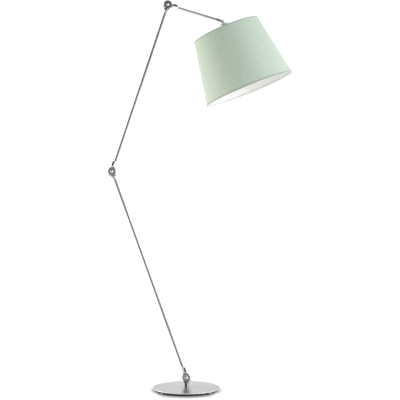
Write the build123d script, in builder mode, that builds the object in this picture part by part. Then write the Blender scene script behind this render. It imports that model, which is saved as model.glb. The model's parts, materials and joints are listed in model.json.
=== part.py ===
from build123d import *
import os
from math import asin, cos, radians, sin

# Adjustable arm floor lamp: a weighted round base, two long tube arms and a short head arm joined by
# three friction hinges, and a conical fabric shade that tilts at the end of the head arm.
#
# Units are millimetres. The origin is on the floor below the middle of the stem, +Z is up and +X is the
# side the shade reaches out to. Every arm lies in the plane Y = 0 and every hinge turns about Y.

# ---------------------------------------------------------------- driving dimensions

# Base
BASE_RADIUS = 150.0
COVER_TOP_CENTRE = 16.0
COVER_TOP_RIM = 11.6
COVER_THICKNESS = 3.0
SEAT_RADIUS = 12.0  # flat middle of the domed cover, where the stem stands
RIM_ROUNDING = 0.8
FOOT_COUNT = 4
FOOT_RADIUS = 5.5
FOOT_CIRCLE_RADIUS = 143.5
FOOT_DIRECTION = 43.0  # degrees from the X axis, the same in each quarter
FOOT_BOTTOM_CHAMFER = 0.8
WEIGHT_RADIUS = 118.0
WEIGHT_BOTTOM = 2.5
NUT_RECESS_RADIUS = 12.0
GROOVE_WIDTH = 8.0
PAD_RADIUS = 18.0
GLAND_BORE_RADIUS = 2.9
GLAND_HEIGHT = 5.0
GLAND_OUTER_RADIUS = 3.6
GLAND_START, GLAND_END = 102.0, 126.0
GLAND_DIRECTION = 90.0  # straight back, between two feet
GROOVE_TOP = GLAND_HEIGHT + GLAND_OUTER_RADIUS + 0.4
NIPPLE_RADIUS = 5.0
NIPPLE_BORE_RADIUS = 3.5
NIPPLE_HOLE_RADIUS = NIPPLE_RADIUS + 0.1
STEM_NUT_THICKNESS = 3.4
STEM_NUT_ACROSS = 14.0
STEM_RADIUS = 10.2
STEM_FOOT_RADIUS = 11.2

# Arms, from hinge to hinge, and the way each one leans from upright, clockwise seen from the front
HINGE_HEIGHT = 55.4
LOWER_ARM_LENGTH = 985.2
UPPER_ARM_LENGTH = 790.0
HEAD_ARM_LENGTH = 255.5
STEM_LEAN = 180.0
LOWER_ARM_LEAN = -19.83
UPPER_ARM_LEAN = 18.57
HEAD_ARM_LEAN = 106.85
SHADE_LEAN = 158.2
TUBE_RADIUS = 5.0
TUBE_BORE_RADIUS = 4.0
CABLE_RADIUS = 2.4

# Hinges: two half discs face to face, with a friction washer between them
DISC_RADIUS = 18.9
DISC_FACE = 9.0  # from the middle of the hinge to the outer face of each disc
MATING_GAP = 0.6  # from the middle of the hinge to the inner face of each disc
RING_OUTER, RING_INNER = 14.2, 8.0  # the sunk ring in each disc's outer face
RING_DEPTH = 1.4
LONG_NECK = (27.0, 15.0)  # a neck's width at the disc and at the socket
TAPER_NECK = (30.0, 19.0)
STEM_NECK = (30.0, 20.0)
CABLE_ROOM_OUTER, CABLE_ROOM_INNER = 9.5, 5.4  # the ring-shaped room for the cable round the bolt
CABLE_ROOM_DEPTH = 4.6
BARREL_START = 20.8  # the full-width socket starts clear of the other half's disc
BARREL_RADIUS = 9.3
BARREL_TIP_RADIUS = 6.2
SOCKET_END = 48.5
TAPER_RADIUS = 9.4
TAPER_TIP_RADIUS = 5.9
TAPER_END = 38.5
SOCKET_FLOOR = 27.0  # how near the hinge the tube reaches inside the long socket
TAPER_FLOOR = 23.0
BOLT_RADIUS = 3.0
BOLT_HEAD_RADIUS = 6.6
BOLT_TAIL = 15.5
WASHER_OUTER, WASHER_INNER = 17.4, 10.6
SET_SCREW_RADIUS = 1.5
LONG_SET_SCREW, TAPER_SET_SCREW = 37.0, 29.5  # how far each set screw is from its hinge
RUNNING_GAP = 0.06
FIXED_GAP = 0.02
SCREW_ANGLE = 52.0
SCREW_RADIUS = 2.0
SCREW_HEAD_RADIUS = 3.0
SCREW_TIP, SCREW_HEAD_START, SCREW_HEAD_END = 13.6, 20.4, 25.6

# The recess for the wiring in the outer front side of a long socket, and the cap that closes it
RECESS_TURN = 45.0  # how far the recess is turned from the hinge's outer side towards the front
RECESS_LENGTH, RECESS_WIDTH = 23.0, 9.5
RECESS_MIDDLE = 34.3
RECESS_FLOOR = 6.2
CAP_TOP = 11.4
CAP_ROUNDING = 2.2

# The sleeve at the end of the head arm and the tilt hinge in it
FORK_START, FORK_END = 227.0, 261.5
FORK_RADIUS = 6.1
FORK_FLAT = 5.2
FORK_GAP = 2.2
FORK_TUBE_DEPTH = 16.0
FORK_SET_SCREW = FORK_START + 9
TAB_HALF = 2.0
TAB_EYE_RADIUS = 5.6
TILT_PIN_RADIUS = 2.0
TILT_NUT_RADIUS = 6.4
COLLAR_START = 8.7
COLLAR_RADIUS = 6.4
SPIGOT_RADIUS = 5.0
SPIGOT_END = 30.0

# Shade, measured along its axis from the tilt hinge
SHADE_TOP = 43.0
SHADE_HEIGHT = 288.0
SHADE_TOP_RADIUS = 152.5
SHADE_BOTTOM_RADIUS = 206.0
COVER_CLOTH = 0.6
LINER_CLOTH = 0.5
WIRE_RADIUS = 1.75
SPOKE_RADIUS = 1.5
SPOKE_COUNT = 3
HUB_RADIUS = 28.5
HUB_BORE_RADIUS = 19.8
WIRE_INSET = 3.0  # from an edge of the shade to the middle of the wire near it

# Lamp holder and bulb, measured the same way
HOLDER_TOP = 10.5
HOLDER_SPLIT = 38.0
HOLDER_MOUTH = 76.0
HOLDER_RADIUS = 21.5
HOLDER_WALL = 1.5
HOLDER_BODY_RADIUS = 19.2
HOLDER_WELL_RADIUS = 14.3
HOLDER_WELL_FLOOR = 48.0
SHADE_RING_RADIUS = 25.5
BULB_RADIUS = 30.0
BULB_CENTRE = 128.0
BULB_NECK = 77.5
BULB_NECK_RADIUS = 13.4
GLASS = 1.0

os.makedirs("parts", exist_ok=True)


# ---------------------------------------------------------------- frames and shared shapes

def arm_frame(pivot, lean):
    """A plane at a hinge: local X runs along the arm, and local Z is the hinge axis, towards the front."""
    along = (sin(radians(lean)), 0, cos(radians(lean)))
    return Plane(origin=pivot, x_dir=along, z_dir=(0, -1, 0))


def arm_end(pivot, lean, length):
    """The point that far along an arm."""
    return Vector(*pivot) + Vector(sin(radians(lean)), 0, cos(radians(lean))) * length


def axis_plane(frame):
    """The plane that holds the hinge axis: local X along the arm, local Y along the hinge axis."""
    return Plane(origin=frame.origin, x_dir=frame.x_dir, z_dir=frame.y_dir * -1)


def section_plane(frame, distance):
    """The plane across an arm, that far from its hinge: local X along the hinge axis."""
    return Plane(origin=frame.origin + frame.x_dir * distance, x_dir=frame.z_dir, z_dir=frame.x_dir)


def hinge_axis(frame):
    return Axis(frame.origin, frame.z_dir)


def arm_axis(frame):
    return Axis(frame.origin, frame.x_dir)


def spin(plane, axis, outline):
    """Adds the solid that a closed outline of straight lines makes when it turns about an axis."""
    with BuildSketch(plane) as profile:
        with BuildLine():
            Polyline(*outline, close=True)
        make_face()
    revolve(profile.sketch, axis=axis)


def drill(plane, radius, depth):
    """Cuts a round hole from a plane, that deep along the plane's normal."""
    with BuildSketch(plane) as hole:
        Circle(radius)
    extrude(hole.sketch, amount=depth, mode=Mode.SUBTRACT)


def save(builder, label):
    """Writes a finished piece to its own file."""
    builder.part.label = label
    export_step(builder.part, f"parts/{label}.step")


# ---------------------------------------------------------------- hinge halves

def add_hinge_disc(frame, side):
    """Adds a hinge half's disc on one side of the hinge's middle: a bevelled rim round a sunk ring."""
    outline = [
        (0, MATING_GAP),
        (DISC_RADIUS - 0.4, MATING_GAP),
        (DISC_RADIUS, MATING_GAP + 0.4),
        (DISC_RADIUS, DISC_FACE - 1.6),
        (DISC_RADIUS - 1.6, DISC_FACE),
        (RING_OUTER, DISC_FACE),
        (RING_OUTER - 0.8, DISC_FACE - RING_DEPTH),
        (RING_INNER + 0.6, DISC_FACE - RING_DEPTH),
        (RING_INNER, DISC_FACE),
        (0, DISC_FACE),
    ]
    spin(axis_plane(frame), hinge_axis(frame), [(r, side * h) for r, h in outline])


def add_neck(frame, side, widths):
    """Adds the flat neck that joins a hinge disc to its arm's socket, on one side of the hinge."""
    start, end = 6.0, BARREL_START + 3.5
    width_at_disc, width_at_barrel = widths
    with BuildSketch(frame.offset(side * MATING_GAP)) as neck:
        with BuildLine():
            Polyline(
                (start, width_at_disc / 2),
                (end, width_at_barrel / 2),
                (end, -width_at_barrel / 2),
                (start, -width_at_disc / 2),
                close=True,
            )
        make_face()
    extrude(neck.sketch, amount=side * (DISC_FACE - RING_DEPTH - MATING_GAP))


def cut_hinge_inside(frame, side, bolt_gap):
    """Cuts the bolt's hole, and the chamber and groove that carry the cable past the bolt."""
    with BuildSketch(frame.offset(-side)) as bolt_hole:
        Circle(BOLT_RADIUS + bolt_gap)
    extrude(bolt_hole.sketch, amount=side * (DISC_FACE + 4), mode=Mode.SUBTRACT)
    with BuildSketch(frame.offset(side * MATING_GAP)) as cable_way:
        Circle(CABLE_ROOM_OUTER)
        Circle(CABLE_ROOM_INNER, mode=Mode.SUBTRACT)
        with Locations((SOCKET_FLOOR / 2 + 3.5, 0)):
            Rectangle(SOCKET_FLOOR - 7, 2 * CABLE_RADIUS + 0.6)
    extrude(cable_way.sketch, amount=side * CABLE_ROOM_DEPTH, mode=Mode.SUBTRACT)


def set_screw_plane(frame, distance):
    """Where a socket's set screw bears on the tube, from the back of the lamp."""
    return Plane(
        origin=frame.origin + frame.x_dir * distance - frame.z_dir * TUBE_RADIUS,
        x_dir=frame.x_dir,
        z_dir=frame.z_dir * -1,
    )


def make_long_socket(label, frame, outer):
    """The hinge half at the start of an arm: back disc, barrel socket and a wiring recess."""
    shoulder = (BARREL_START + 6, BARREL_RADIUS)
    waist = (SOCKET_END - 6.5, BARREL_RADIUS)
    with BuildPart() as socket:
        add_hinge_disc(frame, -1)
        add_neck(frame, -1, LONG_NECK)
        with BuildSketch(frame):
            with BuildLine():
                Line((BARREL_START, 0), (BARREL_START, 6.4))
                ThreePointArc((BARREL_START, 6.4), (BARREL_START + 1.8, 8.6), shoulder)
                Line(shoulder, waist)
                ThreePointArc(waist, (SOCKET_END - 1.7, 8.5), (SOCKET_END, BARREL_TIP_RADIUS))
                Polyline((SOCKET_END, BARREL_TIP_RADIUS), (SOCKET_END, 0), (BARREL_START, 0))
            make_face()
        revolve(axis=arm_axis(frame))
        drill(section_plane(frame, SOCKET_FLOOR), TUBE_RADIUS + FIXED_GAP, 30)
        cut_hinge_inside(frame, -1, RUNNING_GAP)
        with BuildSketch(recess_plane(frame, outer)):
            SlotOverall(RECESS_LENGTH, RECESS_WIDTH)
        extrude(amount=10, mode=Mode.SUBTRACT)
        drill(set_screw_plane(frame, LONG_SET_SCREW), SET_SCREW_RADIUS, 10)
    save(socket, label)


def recess_direction(frame, outer):
    """The way the wiring recess faces: between the hinge's outer side and the front."""
    turn = radians(RECESS_TURN)
    return frame.y_dir * (outer * cos(turn)) + frame.z_dir * sin(turn)


def recess_plane(frame, outer):
    """The floor of the wiring recess in a long socket."""
    facing = recess_direction(frame, outer)
    middle = frame.origin + frame.x_dir * RECESS_MIDDLE + facing * RECESS_FLOOR
    return Plane(origin=middle, x_dir=frame.x_dir, z_dir=facing)


def make_wiring_cap(label, frame, outer):
    """The dark cap that closes a wiring recess and stands a little proud of the socket."""
    with BuildPart() as cap:
        with BuildSketch(recess_plane(frame, outer)):
            SlotOverall(RECESS_LENGTH, RECESS_WIDTH)
        extrude(amount=CAP_TOP - RECESS_FLOOR)
        top_edges = cap.faces().sort_by(Axis(frame.origin, recess_direction(frame, outer)))[-1].edges()
        fillet(top_edges, CAP_ROUNDING)
    save(cap, label)


def screw_direction(frame, outer):
    """The way the tension screw points, out from the hinge and away from the arm."""
    angle = radians(SCREW_ANGLE)
    return frame.x_dir * cos(angle) + frame.y_dir * (outer * sin(angle))


def screw_frame(frame, outer):
    """A frame on the tension screw: local X along the screw, out from the hinge axis."""
    middle = frame.origin + frame.z_dir * ((DISC_FACE + MATING_GAP) / 2)
    return Plane(origin=middle, x_dir=screw_direction(frame, outer), z_dir=frame.z_dir)


def make_taper_socket(label, frame, outer):
    """The hinge half at the far end of an arm: front disc and a socket that tapers onto the tube."""
    with BuildPart() as socket:
        add_hinge_disc(frame, 1)
        add_neck(frame, 1, TAPER_NECK)
        with BuildSketch(frame):
            with BuildLine():
                Line((BARREL_START, 0), (BARREL_START, TAPER_RADIUS))
                ThreePointArc((BARREL_START, TAPER_RADIUS), (30.5, 8.7), (TAPER_END, TAPER_TIP_RADIUS))
                Polyline((TAPER_END, TAPER_TIP_RADIUS), (TAPER_END, 0), (BARREL_START, 0))
            make_face()
        revolve(axis=arm_axis(frame))
        drill(section_plane(frame, TAPER_FLOOR), TUBE_RADIUS + FIXED_GAP, 30)
        cut_hinge_inside(frame, 1, FIXED_GAP)
        drill(section_plane(screw_frame(frame, outer), SCREW_TIP - 1), SCREW_RADIUS + RUNNING_GAP, 8)
        drill(set_screw_plane(frame, TAPER_SET_SCREW), SET_SCREW_RADIUS, 10)
    save(socket, label)


def make_stem(label, frame, outer):
    """The base's own hinge half: front disc on a round stem, threaded below for the hollow nipple."""
    length = HINGE_HEIGHT - COVER_TOP_CENTRE
    with BuildPart() as stem:
        add_hinge_disc(frame, 1)
        add_neck(frame, 1, STEM_NECK)
        outline = [
            (BARREL_START, 0),
            (BARREL_START, STEM_RADIUS - 0.8),
            (BARREL_START + 0.8, STEM_RADIUS),
            (length - 4, STEM_RADIUS),
            (length - 2, STEM_FOOT_RADIUS - 0.4),
            (length, STEM_FOOT_RADIUS),
            (length, 0),
        ]
        spin(frame, arm_axis(frame), outline)
        drill(section_plane(frame, TAPER_FLOOR), NIPPLE_RADIUS + FIXED_GAP, 30)
        cut_hinge_inside(frame, 1, FIXED_GAP)
        drill(section_plane(screw_frame(frame, outer), SCREW_TIP - 1), SCREW_RADIUS + RUNNING_GAP, 8)
    save(stem, label)


# ---------------------------------------------------------------- hinge hardware

def dome_middle(rim, crown):
    """The point halfway along a spherical dome's arc, from its rim to its crown on the axis."""
    rise = crown[1] - rim[1]
    radius = (rim[0] ** 2 + rise**2) / (2 * abs(rise))
    centre = crown[1] - (radius if rise > 0 else -radius)
    half = asin(rim[0] / radius) / 2
    return (radius * sin(half), centre + (radius * cos(half) if rise > 0 else -radius * cos(half)))


def make_tension_screw(label, frame, outer):
    """The small knurled thumbscrew in the rim of the front disc that sets how stiffly the hinge turns."""
    screw = screw_frame(frame, outer)
    with BuildPart() as thumbscrew:
        outline = [
            (SCREW_TIP, 0),
            (SCREW_TIP, 1.3),
            (SCREW_TIP + 0.7, SCREW_RADIUS),
            (SCREW_HEAD_START, SCREW_RADIUS),
            (SCREW_HEAD_START, SCREW_HEAD_RADIUS - 0.4),
            (SCREW_HEAD_START + 0.4, SCREW_HEAD_RADIUS),
            (SCREW_HEAD_END - 0.6, SCREW_HEAD_RADIUS),
            (SCREW_HEAD_END, SCREW_HEAD_RADIUS - 0.6),
            (SCREW_HEAD_END, 0),
        ]
        spin(screw, arm_axis(screw), outline)
        with BuildSketch(section_plane(screw, SCREW_HEAD_START - 1)):
            with PolarLocations(SCREW_HEAD_RADIUS + 0.25, 14):
                Circle(0.45)
        extrude(amount=SCREW_HEAD_END - SCREW_HEAD_START + 2, mode=Mode.SUBTRACT)
    save(thumbscrew, label)


def make_hinge_bolt(label, frame):
    """The hinge's axle: a domed head on the front disc, a plain shank, and a hexagon drive."""
    rim = (BOLT_HEAD_RADIUS, DISC_FACE + 1.2)
    crown = (0, DISC_FACE + 4.3)
    tail = (BOLT_RADIUS, -BOLT_TAIL)
    with BuildPart() as bolt:
        with BuildSketch(axis_plane(frame)):
            with BuildLine():
                Polyline((0, -BOLT_TAIL), tail, (BOLT_RADIUS, DISC_FACE), (rim[0], DISC_FACE), rim)
                ThreePointArc(rim, dome_middle(rim, crown), crown)
                Line(crown, (0, -BOLT_TAIL))
            make_face()
        revolve(axis=hinge_axis(frame))
        with BuildSketch(frame.offset(11.0)):
            RegularPolygon(2.0, 6, major_radius=False)
        extrude(amount=4, mode=Mode.SUBTRACT)
    save(bolt, label)


def make_friction_washer(label, frame):
    """The fibre washer between the two discs, fixed to the front one."""
    with BuildPart() as washer:
        with BuildSketch(frame.offset(MATING_GAP)):
            Circle(WASHER_OUTER)
            Circle(WASHER_INNER, mode=Mode.SUBTRACT)
        extrude(amount=-1.0)
    save(washer, label)


def make_spring_washer(label, frame):
    """The dished spring washer under the nut, which keeps the discs pressed together."""
    back = -DISC_FACE - 0.2
    with BuildPart() as washer:
        outline = [(3.2, back - 0.7), (7.4, back), (7.4, back - 0.9), (3.2, back - 1.6)]
        spin(axis_plane(frame), hinge_axis(frame), outline)
    save(washer, label)


def make_hinge_nut(label, frame):
    """The domed nut at the back of the hinge."""
    back = -DISC_FACE - 1.8
    rim = (5.2, back - 4.6)
    crown = (0, back - 8.3)
    with BuildPart() as nut:
        with BuildSketch(frame.offset(back)):
            RegularPolygon(5.5, 6, major_radius=False)
        extrude(amount=-4.2)
        with BuildSketch(axis_plane(frame)):
            with BuildLine():
                Polyline((0, back - 4.0), (rim[0], back - 4.0), rim)
                ThreePointArc(rim, dome_middle(rim, crown), crown)
                Line(crown, (0, back - 4.0))
            make_face()
        revolve(axis=hinge_axis(frame))
        with BuildSketch(frame.offset(back + 0.5)):
            Circle(BOLT_RADIUS + FIXED_GAP)
        extrude(amount=-5.5, mode=Mode.SUBTRACT)
    save(nut, label)


def make_hinge_hardware(name, frame, outer):
    """Everything that holds one arm hinge together, placed by the frame of its front half."""
    make_hinge_bolt(f"{name}_bolt", frame)
    make_friction_washer(f"{name}_friction_washer", frame)
    make_spring_washer(f"{name}_spring_washer", frame)
    make_hinge_nut(f"{name}_nut", frame)
    make_tension_screw(f"{name}_tension_screw", frame, outer)


# ---------------------------------------------------------------- arms

def make_tube(label, frame, start, end):
    """An arm's steel tube."""
    with BuildPart() as tube:
        with BuildSketch(section_plane(frame, start)):
            Circle(TUBE_RADIUS)
            Circle(TUBE_BORE_RADIUS, mode=Mode.SUBTRACT)
        extrude(amount=end - start)
    save(tube, label)


def make_cable(label, frame, start, end):
    """The stretch of two-core cable that one arm's tube carries."""
    with BuildPart() as cable:
        with BuildSketch(section_plane(frame, start)):
            Circle(CABLE_RADIUS)
        extrude(amount=end - start)
    save(cable, label)


def make_set_screws(label, places):
    """The grub screws that grip a tube in its sockets, each (frame, distance from its hinge, length)."""
    with BuildPart() as screws:
        for frame, distance, length in places:
            plane = set_screw_plane(frame, distance)
            with BuildSketch(plane):
                Circle(SET_SCREW_RADIUS - FIXED_GAP)
            extrude(amount=length)
            with BuildSketch(plane.offset(length - 1.4)):
                RegularPolygon(0.75, 6, major_radius=False)
            extrude(amount=3, mode=Mode.SUBTRACT)
    save(screws, label)


# ---------------------------------------------------------------- base

def cover_height(radius, drop=0.0):
    """The height of the domed cover's top face at a radius, less a drop."""
    share = max(0.0, radius - SEAT_RADIUS) / (BASE_RADIUS - 1 - SEAT_RADIUS)
    return COVER_TOP_CENTRE - (COVER_TOP_CENTRE - COVER_TOP_RIM) * share**2 - drop


def dome_arc(inner, outer, drop):
    """The three points of an arc that follows the cover's dome, at a drop below its top face."""
    radii = (inner, (inner + outer) / 2, outer)
    return [(r, cover_height(r, drop)) for r in radii]


def make_base_cover():
    """The domed sheet-steel cover: flat seat in the middle and a rounded rim."""
    rim_inside = BASE_RADIUS - RIM_ROUNDING
    top = dome_arc(SEAT_RADIUS, BASE_RADIUS - 1, 0)
    under = dome_arc(SEAT_RADIUS, rim_inside, COVER_THICKNESS)
    edge_top = (BASE_RADIUS, COVER_TOP_RIM - 1)
    with BuildPart() as cover:
        with BuildSketch(Plane.XZ):
            with BuildLine():
                Line((NIPPLE_HOLE_RADIUS, COVER_TOP_CENTRE), top[0])
                ThreePointArc(*top)
                ThreePointArc(top[2], (BASE_RADIUS - 0.25, COVER_TOP_RIM - 0.35), edge_top)
                Polyline(edge_top, (BASE_RADIUS, under[2][1] + RIM_ROUNDING), under[2])
                ThreePointArc(under[2], under[1], under[0])
                Polyline(
                    under[0],
                    (NIPPLE_HOLE_RADIUS, COVER_TOP_CENTRE - COVER_THICKNESS),
                    (NIPPLE_HOLE_RADIUS, COVER_TOP_CENTRE),
                )
            make_face()
        revolve(axis=Axis.Z)
    save(cover, "base_cover")


def gland_floor_plane():
    """The weight's bottom face, turned so that local X runs out along the lead's groove."""
    angle = radians(GLAND_DIRECTION)
    return Plane(origin=(0, 0, WEIGHT_BOTTOM), x_dir=(cos(angle), sin(angle), 0), z_dir=(0, 0, 1))


def gland_section_plane(distance):
    """The plane across the groove that far from the stem, with its origin on the gland's axis."""
    floor = gland_floor_plane()
    middle = floor.origin + floor.x_dir * distance + floor.z_dir * (GLAND_HEIGHT - WEIGHT_BOTTOM)
    return Plane(origin=middle, x_dir=floor.y_dir, z_dir=floor.x_dir)


def make_base_weight():
    """The cast-iron weight under the cover, with a nut recess and a groove for the mains lead."""
    top = dome_arc(SEAT_RADIUS, WEIGHT_RADIUS, COVER_THICKNESS + 0.1)
    with BuildPart() as weight:
        with BuildSketch(Plane.XZ):
            with BuildLine():
                Line((NIPPLE_HOLE_RADIUS, top[0][1]), top[0])
                ThreePointArc(*top)
                Polyline(
                    top[2],
                    (WEIGHT_RADIUS, WEIGHT_BOTTOM + 1),
                    (WEIGHT_RADIUS - 1, WEIGHT_BOTTOM),
                    (NIPPLE_HOLE_RADIUS, WEIGHT_BOTTOM),
                    (NIPPLE_HOLE_RADIUS, top[0][1]),
                )
            make_face()
        revolve(axis=Axis.Z)
        with BuildSketch(gland_floor_plane()):
            Circle(NUT_RECESS_RADIUS)
            with Locations((WEIGHT_RADIUS / 2, 0)):
                Rectangle(WEIGHT_RADIUS + 4, GROOVE_WIDTH)
        extrude(amount=GROOVE_TOP - WEIGHT_BOTTOM, mode=Mode.SUBTRACT)
    save(weight, "base_weight")


def make_feet():
    """Four clear rubber feet under the rim of the cover, one in each quarter."""
    underside = cover_height(FOOT_CIRCLE_RADIUS + FOOT_RADIUS, COVER_THICKNESS)
    for number in range(FOOT_COUNT):
        quarter = number * 90
        angle = radians(quarter + (FOOT_DIRECTION if number % 2 == 0 else 90 - FOOT_DIRECTION))
        place = Vector(FOOT_CIRCLE_RADIUS * cos(angle), FOOT_CIRCLE_RADIUS * sin(angle), 0)
        with BuildPart() as foot:
            with BuildSketch(Plane(origin=place)):
                Circle(FOOT_RADIUS)
            extrude(amount=underside)
            chamfer(foot.edges().group_by(Axis.Z)[0], FOOT_BOTTOM_CHAMFER)
        save(foot, f"base_foot_{number + 1}")


def make_centre_pad():
    """The felt pad under the middle of the weight, which closes the recess round the nut."""
    with BuildPart() as pad:
        with BuildSketch(Plane.XY):
            Circle(PAD_RADIUS)
        extrude(amount=WEIGHT_BOTTOM)
    save(pad, "base_centre_pad")


def make_stem_fixings():
    """The hollow threaded nipple that ties the stem, cover and weight together, and its nut below."""
    nipple_bottom = GROOVE_TOP - STEM_NUT_THICKNESS - 1
    with BuildPart() as nipple:
        with BuildSketch(Plane.XY.offset(nipple_bottom)):
            Circle(NIPPLE_RADIUS)
            Circle(NIPPLE_BORE_RADIUS, mode=Mode.SUBTRACT)
        extrude(amount=HINGE_HEIGHT - TAPER_FLOOR - 1 - nipple_bottom)
    save(nipple, "stem_nipple")
    with BuildPart() as nut:
        with BuildSketch(Plane.XY.offset(GROOVE_TOP - STEM_NUT_THICKNESS)):
            RegularPolygon(STEM_NUT_ACROSS / 2, 6, major_radius=False)
            Circle(NIPPLE_RADIUS + FIXED_GAP, mode=Mode.SUBTRACT)
        extrude(amount=STEM_NUT_THICKNESS)
    save(nut, "stem_nut")


def make_cable_gland():
    """The bush in the weight's groove that the mains lead passes through."""
    with BuildPart() as gland:
        with BuildSketch(gland_section_plane(GLAND_START)):
            Circle(GLAND_OUTER_RADIUS)
        extrude(amount=GLAND_END - GLAND_START)
        with BuildSketch(gland_section_plane(GLAND_START)):
            Rectangle(GROOVE_WIDTH - 0.1, 7.6)
        extrude(amount=WEIGHT_RADIUS - 2 - GLAND_START)
        with BuildSketch(gland_section_plane(GLAND_START)):
            Circle(GLAND_BORE_RADIUS)
        extrude(amount=GLAND_END - GLAND_START, mode=Mode.SUBTRACT)
    save(gland, "cable_gland")


# ---------------------------------------------------------------- head arm end and tilt hinge

def make_fork(frame):
    """The sleeve on the end of the head arm, slotted to hold the shade's tab."""
    slot_depth = TAB_EYE_RADIUS + 1.7
    with BuildPart() as fork:
        outline = [
            (FORK_START, 0),
            (FORK_START, FORK_RADIUS - 0.3),
            (FORK_START + 0.8, FORK_RADIUS),
            (FORK_END - 1.0, FORK_RADIUS),
            (FORK_END, FORK_RADIUS - 1.0),
            (FORK_END, 0),
        ]
        spin(frame, arm_axis(frame), outline)
        with BuildSketch(section_plane(frame, FORK_START - 1)):
            Circle(TUBE_RADIUS + FIXED_GAP)
        extrude(amount=FORK_TUBE_DEPTH + 2, mode=Mode.SUBTRACT)
        with BuildSketch(frame):
            with Locations((HEAD_ARM_LENGTH, 0)):
                Rectangle(2 * slot_depth, 20)
        extrude(amount=FORK_GAP, both=True, mode=Mode.SUBTRACT)
        for side in (1, -1):
            with BuildSketch(frame.offset(side * FORK_FLAT)):
                with Locations((HEAD_ARM_LENGTH, 0)):
                    Circle(5.2)
            extrude(amount=side * 4, mode=Mode.SUBTRACT)
        with BuildSketch(frame):
            with Locations((HEAD_ARM_LENGTH, 0)):
                Circle(TILT_PIN_RADIUS + FIXED_GAP)
        extrude(amount=10, both=True, mode=Mode.SUBTRACT)
        drill(set_screw_plane(frame, FORK_SET_SCREW), SET_SCREW_RADIUS, 4)
    save(fork, "head_arm_fork")


def make_tilt_screw(frame):
    """The screw through the fork that the shade tilts on."""
    with BuildPart() as screw:
        outline = [
            (0, -14.5),
            (TILT_PIN_RADIUS, -14.5),
            (TILT_PIN_RADIUS, FORK_FLAT),
            (4.0, FORK_FLAT),
            (4.0, FORK_FLAT + 1.7),
            (3.3, FORK_FLAT + 2.4),
            (0, FORK_FLAT + 2.4),
        ]
        spin(axis_plane(frame), hinge_axis(frame), outline)
        with BuildSketch(frame.offset(FORK_FLAT + 1.2)):
            Rectangle(9, 0.9)
        extrude(amount=2, mode=Mode.SUBTRACT)
    save(screw, "tilt_screw")


def make_tilt_nut(frame):
    """The knurled nut at the back that stiffens the tilt hinge."""
    with BuildPart() as nut:
        outline = [
            (TILT_PIN_RADIUS + RUNNING_GAP, -FORK_FLAT - 0.2),
            (4.2, -FORK_FLAT - 0.2),
            (4.2, -FORK_FLAT - 2.0),
            (TILT_NUT_RADIUS, -FORK_FLAT - 2.6),
            (TILT_NUT_RADIUS, -FORK_FLAT - 7.4),
            (TILT_NUT_RADIUS - 0.6, -FORK_FLAT - 8.0),
            (TILT_PIN_RADIUS + RUNNING_GAP, -FORK_FLAT - 8.0),
        ]
        spin(axis_plane(frame), hinge_axis(frame), outline)
        with BuildSketch(frame.offset(-FORK_FLAT - 2.2)):
            with PolarLocations(TILT_NUT_RADIUS + 0.4, 18):
                Circle(0.7)
        extrude(amount=-8, mode=Mode.SUBTRACT)
    save(nut, "tilt_nut")


def make_tilt_tab(frame):
    """The shade's half of the tilt hinge: an eye and neck above a collar and a threaded spigot."""
    with BuildPart() as tab:
        with BuildSketch(frame):
            Circle(TAB_EYE_RADIUS)
            with Locations((COLLAR_START / 2, 0)):
                Rectangle(COLLAR_START, 8)
        extrude(amount=TAB_HALF, both=True)
        outline = [
            (COLLAR_START, 0),
            (COLLAR_START, COLLAR_RADIUS - 0.6),
            (COLLAR_START + 0.6, COLLAR_RADIUS),
            (HOLDER_TOP, COLLAR_RADIUS),
            (HOLDER_TOP, SPIGOT_RADIUS),
            (SPIGOT_END, SPIGOT_RADIUS),
            (SPIGOT_END, 0),
        ]
        spin(frame, arm_axis(frame), outline)
        with BuildSketch(frame):
            Circle(TILT_PIN_RADIUS + RUNNING_GAP)
        extrude(amount=5, both=True, mode=Mode.SUBTRACT)
        drill(section_plane(frame, HOLDER_TOP), SPIGOT_RADIUS - 2, 20)
    save(tab, "tilt_tab")


# ---------------------------------------------------------------- lamp holder and bulb

def make_holder_cap(frame):
    """The metal cup over the top of the lamp holder."""
    hole = SPIGOT_RADIUS + FIXED_GAP
    inside = HOLDER_RADIUS - HOLDER_WALL
    ceiling = HOLDER_TOP + HOLDER_WALL
    crown, side = (HOLDER_TOP, 13.5), (HOLDER_TOP + 7.0, HOLDER_RADIUS)
    inner_crown, inner_side = (ceiling, 13.3), (HOLDER_TOP + 7.4, inside)
    with BuildPart() as cap:
        with BuildSketch(frame):
            with BuildLine():
                Line((HOLDER_TOP, hole), crown)
                ThreePointArc(crown, (HOLDER_TOP + 2.2, 18.9), side)
                Polyline(side, (HOLDER_SPLIT, HOLDER_RADIUS), (HOLDER_SPLIT, inside), inner_side)
                ThreePointArc(inner_side, (HOLDER_TOP + 3.5, 17.9), inner_crown)
                Polyline(inner_crown, (ceiling, hole), (HOLDER_TOP, hole))
            make_face()
        revolve(axis=arm_axis(frame))
    save(cap, "lampholder_cap")


def make_holder_body(frame):
    """The insulating body of the lamp holder, threaded outside for the shade rings."""
    with BuildPart() as body:
        outline = [
            (SPIGOT_END + 1, 0),
            (SPIGOT_END + 1, 17.0),
            (HOLDER_SPLIT + 0.1, 17.0),
            (HOLDER_SPLIT + 0.1, HOLDER_BODY_RADIUS),
            (HOLDER_MOUTH - 1, HOLDER_BODY_RADIUS),
            (HOLDER_MOUTH, HOLDER_BODY_RADIUS - 1),
            (HOLDER_MOUTH, HOLDER_WELL_RADIUS),
            (HOLDER_WELL_FLOOR, HOLDER_WELL_RADIUS),
            (HOLDER_WELL_FLOOR, 0),
        ]
        spin(frame, arm_axis(frame), outline)
    save(body, "lampholder_body")


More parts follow.
